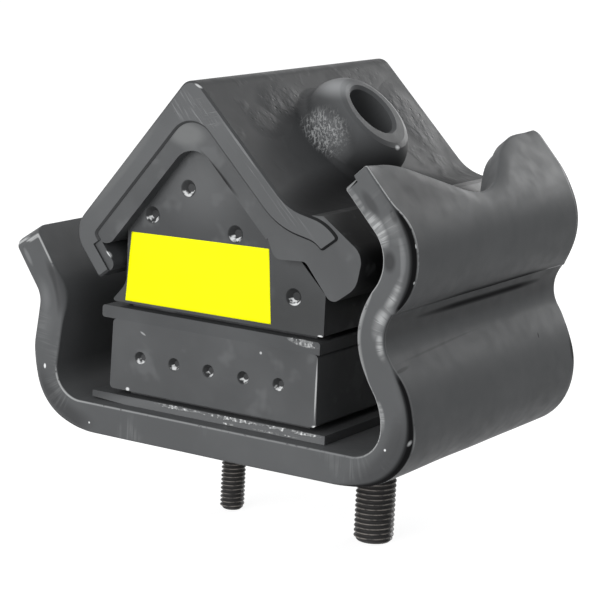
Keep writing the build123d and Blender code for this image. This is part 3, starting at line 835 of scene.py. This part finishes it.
@dataclass
class Cradle:
    """The bent strip that the mount stands on, with its hook, rolled edges and sheared ends."""

    start: tuple[float, float] = (-88.983, 72.040)
    heading: float = -56.0
    moves: tuple[Move, ...] = (
        Move(17.9),
        Move(16.0, -41.0),
        Move(20.6),
        Move(17.7, 97.0),
        Move(61.3 + 60.8),
        Move(17.7, 90.0),
        Move(30.4, 33.9),
        Move(7.2),
        Move(19.3, -68.2),
        Move(4.4),
        Move(22.1, 77.2),
        Move(22.1),
    )
    length: float = 140.0
    thickness: float = 12.0
    scallop_depth: float = 21.4
    scallop_shift: float = -0.8
    valley: float = 33.0
    front_horn: Horn = Horn(2.2, 24.3, 50.0, 1.5)
    back_horn: Horn = Horn(0.0, 32.9, 53.0, 5.0)
    lean: float = 7.0
    flare_corner: float = 2.0
    # The flare reaches further between its corners than at them, over this width beside each
    flare_reach: float = 2.7
    flare_run: float = 7.0
    edge: float = 0.8
    roll_per_turn: float = 78.0
    die_roll: float = 1.1
    die_roll_width: float = 7.0
    die_roll_fade: float = 8.0
    # The corners roll over gradually towards a bend: their turn is averaged over this length
    easing: float = 17.0
    crease_back: float = 54.3
    crease_depth: float = 1.5
    crease_lip: float = 0.25
    crease_fade: float = 4.5
    hook_rows: float = 34.0
    flare_rows: float = 30.0
    wave_height: float = 0.07
    wave_size: float = 42.0
    wave_fade: float = 6.0
    side_points: int = 60
    arc_points: int = 7
    end_points: int = 9
    tip_points: int = 4
    # Rows per millimetre on the straight, per unit of turn in a bend, and more at the crease and the hook's edge
    straight_rows: float = 0.45
    bend_rows: float = 11.0
    crease_rows: float = 1.6
    crease_span: float = 7.0
    edge_span: float = 8.0
    # Painted shade on the rolled-over corners: the roll that shows a whole dark crescent, and the share of the corner
    # that it ends at
    whole_crescent: float = 1.6
    crescent_end: float = 0.72
    # Points of the outer side, next to its corner, that show the edge's wear and painted highlight
    lip_points: int = 7
    # Wear and painted highlight of the inner and outer edges, as distance along the strip and share
    inner_wear_and_highlight: tuple[tuple[float, float], ...] = (
        (0, 1), (11, 1), (15, 0), (51, 0), (56, 0.8), (68, 1), (88, 0.6),
        (205, 0.3), (222, 1), (250, 0.8), (262, 0.6), (300, 0.9), (320, 0.5),
    )  # fmt: skip
    outer_wear_and_highlight: tuple[tuple[float, float], ...] = (
        (0, 1), (3, 0.6), (8, 0.1), (224, 0.1), (228, 0.6), (232, 0.1), (288, 0.1), (296, 0.6), (304, 0.6), (310, 1),
    )  # fmt: skip
    # How much of the crease shows, by place across the strip
    crease_shown: tuple[tuple[float, float], ...] = (
        (-60, 0.4), (-45, 0.7), (-10, 1.0), (30, 1.0), (52, 0.7), (66, 0.3), (70, 0.2),
    )  # fmt: skip
    # Bands of painted shade along the crease, as middle below the ledge and half width
    crease_shade_bands: tuple[tuple[float, float], ...] = ((-0.6, 1.9), (6.8, 2.8))
    # Painted shade thinly over the whole waist: distance of its middle from the hook's tip, half width and share
    waist_shade: tuple[float, float, float] = (62.5, 8.0, 0.45)

    def path(self) -> tuple[Array, Array, Array, Array, Array]:
        """Middle line of the strip, from the flare's tip to the hook's tip.

        The heading is the sum of curvature times step, and the place is the sum of (cos, sin) of it.

        Returns:
            Distance, X, Z, heading in radians and curvature, at fine steps.
        """
        lengths = np.array([move.length for move in self.moves])
        lengths[0] += self.flare_reach
        bends = np.array([move.curvature for move in self.moves])
        ends = np.cumsum(lengths)
        steps = 8000
        step = ends[-1] / steps
        distance = np.linspace(0, ends[-1], steps + 1)
        middle = distance[:-1] + step / 2
        curvature = bends[np.minimum(np.searchsorted(ends, middle), len(bends) - 1)]
        heading = math.radians(self.heading) + np.concatenate([[0.0], np.cumsum(curvature * step)])
        half = (heading[:-1] + heading[1:]) / 2
        x = self.start[0] - self.flare_reach * math.cos(heading[0]) + np.append(0.0, np.cumsum(np.cos(half) * step))
        z = self.start[1] - self.flare_reach * math.sin(heading[0]) + np.append(0.0, np.cumsum(np.sin(half) * step))
        kernel = np.hanning(int(self.easing / step))
        smooth = np.convolve(np.append(curvature, curvature[-1]), kernel / kernel.sum(), mode="same")
        return distance, x, z, heading, smooth

    def hook_drop(self, y: Array) -> Array:
        """How far the hook's edge lies short of the strip's tip, by place across the strip."""
        half, shift = self.length / 2, self.scallop_shift
        front = self.front_horn.fall(np.maximum(shift - y, 0), self.scallop_depth, self.valley, half, -shift)
        back = self.back_horn.fall(np.maximum(y - shift, 0), self.scallop_depth, self.valley, half, shift)
        return np.where(y < shift, front, back)

    def corner_drop(self, place: Array, corner: float) -> Array:
        """Drop of a rounded corner: r - sqrt(r^2 - (r - gap)^2) within r of the strip's end."""
        inside = np.clip(corner - (self.length / 2 - place), 0, corner)
        return corner - np.sqrt(np.maximum(corner**2 - inside**2, 0))

    def levels(self, total: float, distance: Array, turn: Array) -> Array:
        """Places of the rows along the strip, closer in bends, at the crease and at the hook's edge.

        Rows are spread by the running sum of a density, so that equal shares of it lie between them.
        """
        density = self.straight_rows + self.bend_rows * np.abs(turn)
        from_crease = (distance - (total - self.crease_back)) / self.crease_span
        density += self.crease_rows * np.exp(-(from_crease**2))
        density += np.clip((distance - (total - 2 * self.edge_span)) / self.edge_span, 0, 1)
        running = np.concatenate([[0.0], np.cumsum((density[:-1] + density[1:]) / 2 * np.diff(distance))])
        count = int(running[-1]) + 2
        return np.interp(np.linspace(0, running[-1], count), running, distance)

    def loop(self, curvature: Array) -> tuple[Array, Array, Array, Array, Array]:
        """Outline of the strip's cross-section at each row, as a rounded rectangle.

        Its outer corners roll over by r = edge + k * turn where the strip turns outwards, and the inner
        corners by the same law where it turns inwards.

        Args:
            curvature: turn per millimetre at each row.

        Returns:
            Distance through the thickness and across the strip, rows x points, the share of sheared face,
            the share of painted shade on the rolled-over corner, and the share of worn edge with a painted highlight.
        """
        half, end = self.thickness / 2, self.length / 2
        turn_out = self.roll_per_turn * np.maximum(curvature, 0)[:, None]
        roll_out = self.edge + turn_out
        roll_in = (self.edge + self.roll_per_turn * 0.5 * np.maximum(-curvature, 0))[:, None]
        spread = np.sin(np.linspace(0, 1, self.side_points) ** 0.9 * np.pi / 2)[None, :]
        arc = np.linspace(0, np.pi / 2, self.arc_points + 2)[None, 1:-1]
        down = np.linspace(0, 1, self.end_points)[None, :]
        ones = np.ones_like(roll_out)
        side, flat = np.zeros_like(spread) * ones, np.ones_like(down) * ones
        through = [
            half + side,
            half - roll_out * (1 - np.cos(arc)),
            half - roll_out - (2 * half - roll_out - roll_in) * down,
            -half + roll_in * (1 - np.sin(arc)),
            -half + side,
        ]
        across = [
            (end - roll_out) * spread,
            end - roll_out * (1 - np.sin(arc)),
            end * flat,
            end - roll_in * (1 - np.cos(arc)),
            (end - roll_in) * spread[:, ::-1],
        ]
        share = arc / arc.max()
        shear = [side, ones * np.clip(share * 2 - 1, 0, 1), flat, ones * (1 - share), side]
        shown = np.clip((self.crescent_end - share) * 5, 0, 1) * (share > 0.05)
        # Dark crescents of painted shade on the rolled-over outer corners
        rolled = [side, np.clip(turn_out / self.whole_crescent, 0, 1) * shown, 0 * flat, 0 * ones * arc, side]
        lip = np.zeros_like(side)
        lip[:, -self.lip_points :] = 1.0
        # Worn edges: the wear also stands for a painted highlight along them
        worn = [lip, ones * (share < 0.1), 0 * flat, np.sin(share * np.pi) * ones, side]
        loops = [np.concatenate(parts, axis=1) for parts in (through, across, shear, rolled, worn)]
        # The other half of the outline mirrors the first across the strip
        signs = (1, -1, 1, 1, 1)
        return tuple(np.concatenate([part, sign * part[:, -2:0:-1]], axis=1) for part, sign in zip(loops, signs))

    def wear(self, u: Array, n: Array, y: Array, total: float) -> Array:
        """How worn the edges are along the strip, with their painted highlight, from 0 to 1, by straight lines
        between the named places.

        Args:
            u: distance along the strip.
            n: distance through the thickness.
            y: distance across the strip.
            total: the strip's length.

        Returns:
            Share of the wear and painted highlight that an edge shows.
        """
        inner = np.interp(u, *np.transpose([*self.inner_wear_and_highlight, (total, 0.4)]))
        outer = np.interp(u, *np.transpose([*self.outer_wear_and_highlight, (total - 2, 1), (total, 0.6)]))
        return np.where(n < 0, inner, outer) * np.where(y < 0, 1.0, 0.5)

    def crease(self, below: Array, y: Array) -> tuple[Array, Array]:
        """Cold shut across the outer waist: a ledge that fades downwards, with a small lip over it.

        The ledge is d min(b / 0.5, 1) e^(-b / fade) and the lip a bell over it, both times a window across the strip.

        Args:
            below: distance under the ledge, along the strip.
            y: distance across the strip.

        Returns:
            How far the outer face moves outwards, and how much painted shade lies in the fold.
        """
        window = np.interp(y, *np.transpose(self.crease_shown))
        ledge = np.clip(below / 0.5, 0, 1) * np.exp(-np.maximum(below, 0) / self.crease_fade)
        lip = self.crease_lip * np.exp(-(((below + 0.9) / 0.8) ** 2))
        shade_share = sum(np.exp(-(((below - middle) / width) ** 2)) for middle, width in self.crease_shade_bands)
        return (lip - self.crease_depth * ledge) * window, np.clip(shade_share, 0, 1) * np.clip(window * 1.6 - 0.5, 0, 1)

    def build(self, material: bpy.types.Material) -> bpy.types.Object:
        """Carries the outline along the path and closes both tips.

        Args:
            material: the strip's finish.

        Returns:
            The piece that stands for the cradle's node.
        """
        distance, x, z, heading, turn = self.path()
        total = distance[-1]
        half = self.thickness / 2
        rows = self.levels(total, distance, turn)
        # Tip rows draw the outline in: first round the edge, then flat to the middle of the thickness
        tip = np.linspace(0, np.pi / 2, self.tip_points + 1)[1:]
        flat = np.array([0.35, 0.7, 1.0])
        drawn, apart = np.ones_like(flat), 0 * flat
        round_in = np.concatenate([drawn, 1 - np.cos(tip[::-1]), 0 * rows, 1 - np.cos(tip), drawn])[:, None]
        back_off = np.concatenate([apart, 1 - np.sin(tip[::-1]), 0 * rows + 1, 1 - np.sin(tip), apart])[:, None]
        shrink = np.concatenate([1 - flat[::-1], np.ones(2 * len(tip) + len(rows)), 1 - flat])[:, None]
        ends = np.zeros(len(flat) + len(tip))
        level = np.concatenate([ends, rows, ends + total])[:, None]
        n, y, shear, rolled, worn = self.loop(np.interp(level[:, 0], distance, turn))
        # Each row's place along the strip: the flare's end, the plain rows, and the hook's scalloped, leaning end
        back = self.edge * (np.abs(n) / half) * back_off
        beside = np.clip(1 - (self.length / 2 - np.abs(y)) / self.flare_run, 0, 1)
        from_start = self.corner_drop(np.abs(y), self.flare_corner) + self.flare_reach * beside**2 + back
        to_end = total - self.hook_drop(y) + n * math.tan(math.radians(self.lean)) - back
        begin, steady = self.flare_rows, total - self.hook_rows
        u = np.where(level < begin, from_start + level * (begin - from_start) / begin, level)
        u = np.where(level > steady, steady + (level - steady) * (to_end - steady) / (total - steady), u)
        # What moves the outer face: the crease, the stamped edge's dip and a slight wave
        short = np.maximum(to_end + back - u, 0)
        fold, shade_share = self.crease(total - self.crease_back - u, y)
        roll = self.die_roll * np.clip(1 - short / self.die_roll_width, 0, 1) ** 2
        roll = roll * np.clip((self.length / 2 - 2.0 - np.abs(y)) / self.die_roll_fade, 0, 1)
        strip = np.stack([u - self.flare_reach, n, y], axis=-1)
        wave = self.wave_height * waviness(strip, self.wave_size, 11)
        wear = worn * self.wear(u - self.flare_reach, n, y, total - self.flare_reach)
        waist_back, waist_width, waist_share = self.waist_shade
        waist = waist_share * np.exp(-(((u - total + waist_back) / waist_width) ** 4))
        # The crease's and the waist's painted shade join that of the corners
        rolled = np.maximum(rolled, np.maximum(shade_share, waist) * (n > half - 0.1))
        outer = np.clip(n / half, 0, 1) ** 3
        n = n * (1 - self.edge * round_in / half) * shrink
        n = n + (fold - roll + wave * np.clip(short / self.wave_fade, 0, 1)) * outer * shrink
        angle = np.interp(u, distance, heading)
        across = np.interp(u, distance, x) + n * np.sin(angle)
        points = np.stack([across, y, np.interp(u, distance, z) - n * np.cos(angle)], axis=-1)
        attributes = {"strip": strip * MM, "sheared": shear, "rolled": rolled, "worn": wear}
        piece = piece_from_grid("bent_cradle", points, True, material, attributes)
        close_mesh(piece)
        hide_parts("cradle")
        return piece


@dataclass
class ThreadedStud:
    """A stud that hangs from the cradle's floor, with its rolled thread."""

    name: str
    node: str
    offset: float
    radius: float
    pitch: float
    reach: float = 41.5
    seat: float = 6.0
    head: float = 12.0
    neck_step: float = 0.5
    head_overhang: float = 4.0
    chamfer: float = 1.4
    # The thread begins this far below the floor, and its crests are a cosine to this power
    begin: float = 0.6
    crest_power: float = 0.75
    # The mesh ends this near its axis, where the ring's points merge into one
    axis: float = 0.01
    turns: int = 96
    rows_per_pitch: int = 12

    @property
    def depth(self) -> float:
        """Depth of the rolled thread, 0.6 of its pitch."""
        return 0.6 * self.pitch

    def build(self, material: bpy.types.Material) -> bpy.types.Object:
        """Turns the thread, chamfered at its end.

        Its radius is R - d (1 - c^0.75) at height z and angle a, with c = (1 - cos 2 pi (z / p - a / 2 pi)) / 2.

        Args:
            material: the stud's finish.

        Returns:
            The piece that stands for the stud's node.
        """
        z = np.arange(-self.reach, -self.begin, self.pitch / self.rows_per_pitch)
        angle = np.linspace(0, 2 * np.pi, self.turns, endpoint=False)
        phase = z[:, None] / self.pitch - angle[None, :] / (2 * np.pi)
        crest = 0.5 - 0.5 * np.cos(2 * np.pi * phase)
        runout = np.clip((-z - self.begin) / self.pitch, 0, 1)[:, None]
        groove = self.depth * (1 - crest**self.crest_power) * runout
        limit = self.radius - self.chamfer + np.clip(z + self.reach, 0, self.chamfer)
        radius = np.minimum(self.radius - groove, limit[:, None])
        neck, head = self.radius + self.neck_step, self.radius + self.head_overhang
        stem = [(0.0, self.radius), (0.0, neck), (self.seat, neck), (self.seat, head), (self.head, head)]
        above = np.array([*stem, (self.head, self.axis)])
        below = np.array([(-self.reach, self.axis), (-self.reach, (self.radius - self.chamfer) * 0.6)])
        plain = np.ones((1, self.turns))
        levels = np.concatenate([below[:, 0], z, above[:, 0]])[:, None] * plain
        radii = np.concatenate([below[:, 1:] * plain, radius, above[:, 1:] * plain])
        points = np.stack([self.offset + radii * np.cos(angle), radii * np.sin(angle), levels], axis=-1)
        wear = np.concatenate([0 * below[:, 1:] * plain, crest * runout, 0 * above[:, 1:] * plain])
        piece = piece_from_grid(self.name, points, True, material, {"crest": wear})
        close_mesh(piece)
        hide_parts(self.node)
        return piece


@dataclass
class Label:
    """The bare label stuck on the wedge's front face."""

    # Corners in x and z: top left, top right, bottom left, bottom right. Its ends are cut a little askew
    corners: tuple[tuple[float, float], ...] = ((-43.8, 80.1), (18.2, 81.8), (-45.7, 53.1), (20.4, 53.7))
    face: float = -63.5
    film: float = 0.16
    bulge: float = 0.03
    bulge_size: float = 14.0
    grid: tuple[int, int] = (64, 30)

    def build(self, material: bpy.types.Material) -> bpy.types.Object:
        """Lays a thin film between its corners, its front bulging a little: y = face - film - bulge * wave.

        Args:
            material: the film's finish.

        Returns:
            The label.
        """
        across, up = np.meshgrid(np.linspace(0, 1, self.grid[0]), np.linspace(0, 1, self.grid[1]))
        across, up = across[..., None], up[..., None]
        top_left, top_right, low_left, low_right = np.array(self.corners)
        top, low = top_left + (top_right - top_left) * across, low_left + (low_right - low_left) * across
        x, z = np.moveaxis(low + (top - low) * up, -1, 0)
        flat = np.stack([x, np.zeros_like(x), z], axis=-1)
        front = self.face - self.film - self.bulge * waviness(flat, self.bulge_size, 5)
        front = flat + np.stack([0 * x, front, 0 * x], axis=-1)
        piece = piece_from_grid("bare_label", front, False, material)
        solid = piece.modifiers.new("film", "SOLIDIFY")
        solid.thickness = self.film * MM
        solid.offset = -1.0
        # The thin film throws next to no yellow on the rubber round it
        piece.visible_diffuse = False
        piece.visible_glossy = False
        return piece


# Studio


@dataclass
class Studio:
    """Floor, lamps, world and camera."""

    floor: float = -41.6
    camera_place: Place = (481.49, -806.63, 239.11)
    azimuth: float = 31.14
    elevation: float = 11.36
    roll: float = 2.84
    lens: float = 144.84
    world_strength: float = 0.7

    def lay_floor(self) -> None:
        """Spreads the sweep under the studs: flat, as a wide disc of rings r = R t^2."""
        ring = np.linspace(0, 1, 24)[:, None] ** 2 * 6000.0
        angle = np.linspace(0, 2 * np.pi, 96, endpoint=False)[None, :]
        points = np.stack([ring * np.cos(angle), ring * np.sin(angle), self.floor + 0 * ring * angle], axis=-1)
        piece = piece_from_grid("paper_floor", points, True, PaleSweep().build())

    def lamp(self, name: str, place: Place, aim: Place, size: tuple[float, float], power: float) -> None:
        """Hangs a soft rectangular lamp.

        Args:
            name: the lamp's name.
            place: its centre, in millimetres.
            aim: the point that it faces, in millimetres.
            size: its width and height, in millimetres.
            power: watts.
        """
        light = bpy.data.lights.new(name, "AREA")
        light.shape = "RECTANGLE"
        light.size, light.size_y = size[0] * MM, size[1] * MM
        light.energy = power
        lamp = bpy.data.objects.new(name, light)
        back = np.array(place, float) - np.array(aim, float)
        back /= np.linalg.norm(back)
        right = np.cross([0.0, 0.0, 1.0], back)
        right /= np.linalg.norm(right)
        lamp.matrix_world = self.placed(right, np.cross(back, right), back, place)
        bpy.context.scene.collection.objects.link(lamp)

    def placed(self, right: Array, up: Array, back: Array, place: Sequence[float]) -> Matrix:
        """World matrix from three directions and a place in millimetres."""
        rows = np.eye(4)
        rows[:3, 0], rows[:3, 1], rows[:3, 2] = right, up, back
        rows[:3, 3] = np.array(place, float) * MM
        return Matrix(rows.tolist())

    def light(self) -> None:
        """Sets the world's even glow and the lamps."""
        world = bpy.data.worlds.new("studio")
        bpy.context.scene.world = world
        world.use_nodes = True
        tree = world.node_tree
        tree.nodes.clear()
        room = add(tree, "Background", {"Strength": self.world_strength, "Color": linear("eef0f2")})
        white = add(tree, "Background", {"Strength": 1.0, "Color": (1, 1, 1, 1)})
        both = add(tree, "MixShader", {0: seen_rays(tree), 1: room.outputs[0], 2: white.outputs[0]})
        add(tree, "OutputWorld", {"Surface": both.outputs[0]}, is_active_output=True)
        middle = (0.0, 0.0, 60.0)
        self.lamp("key_box", (150, 1100, 420), middle, (600, 400), 5.0)
        self.lamp("front_box", (-150, -1150, 320), middle, (900, 700), 12.5)

    def shoot(self) -> None:
        """Places the camera where the photograph was taken from."""
        a, e, r = (math.radians(v) for v in (self.azimuth, self.elevation, self.roll))
        back = np.array([math.sin(a) * math.cos(e), -math.cos(a) * math.cos(e), math.sin(e)])
        right = np.array([math.cos(a), math.sin(a), 0.0])
        up = np.cross(back, right)
        turned_right = math.cos(r) * right + math.sin(r) * up
        turned_up = -math.sin(r) * right + math.cos(r) * up
        data = bpy.data.cameras.new("camera")
        data.lens = self.lens
        data.sensor_width = 36.0
        data.clip_start, data.clip_end = 0.05, 50.0
        camera = bpy.data.objects.new("camera", data)
        camera.matrix_world = self.placed(turned_right, turned_up, back, self.camera_place)
        bpy.context.scene.collection.objects.link(camera)
        bpy.context.scene.camera = camera


def dress(frame: Mapping[str, Any], finishes: Mapping[str, bpy.types.Material]) -> None:
    """Gives carried-over nodes their finishes.

    Args:
        finishes: material by node name.
    """
    for node, material in finishes.items():
        holder = frame["nodes"][node]
        for place in holder.material_slots:
            place.material = material
        LOG.info("%s wears %s", node, material.name)


def main() -> None:
    """Builds the scene in order and reports each piece."""
    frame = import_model()
    studio = Studio()
    studio.lay_floor()
    studio.light()
    studio.shoot()
    bpy.context.scene.view_settings.view_transform = "Standard"
    rubber = SprayedRubber().build()
    # A darker copy of the rubber paint, painted shade for the wedge's recessed face
    shaded_rubber = SprayedRubber("moulded_rubber_dusted", "3d3e3f", "444546", roughness=0.32).build()
    plate = SprayedPlate().build()
    forging = SprayedForging().build()
    dress(
        frame,
        {
            "saddle": forging,
            "spring_rubber": rubber,
            "left_buffer": rubber,
            "wedge_rubber": shaded_rubber,
            "wedge_core": plate,
            "interleaf_plate": plate,
            "pedestal_rubber": rubber,
            "pedestal_insert": plate,
            "base_plate": plate,
        },
    )
    thread = BlackenedThread().build()
    pieces = [
        Cradle().build(SprayedStrip().build()),
        ThreadedStud("right_threaded_stud", "main_stud", 33.6, 8.0, 2.0).build(thread),
        ThreadedStud("left_threaded_stud", "locating_stud", -33.6, 5.0, 1.75).build(thread),
        Label().build(LabelFilm().build()),
    ]
    for piece in pieces:
        LOG.info("%s: %d faces", piece.name, len(piece.data.polygons))


if __name__ == "__main__":
    logging.basicConfig(level=logging.INFO)
    main()
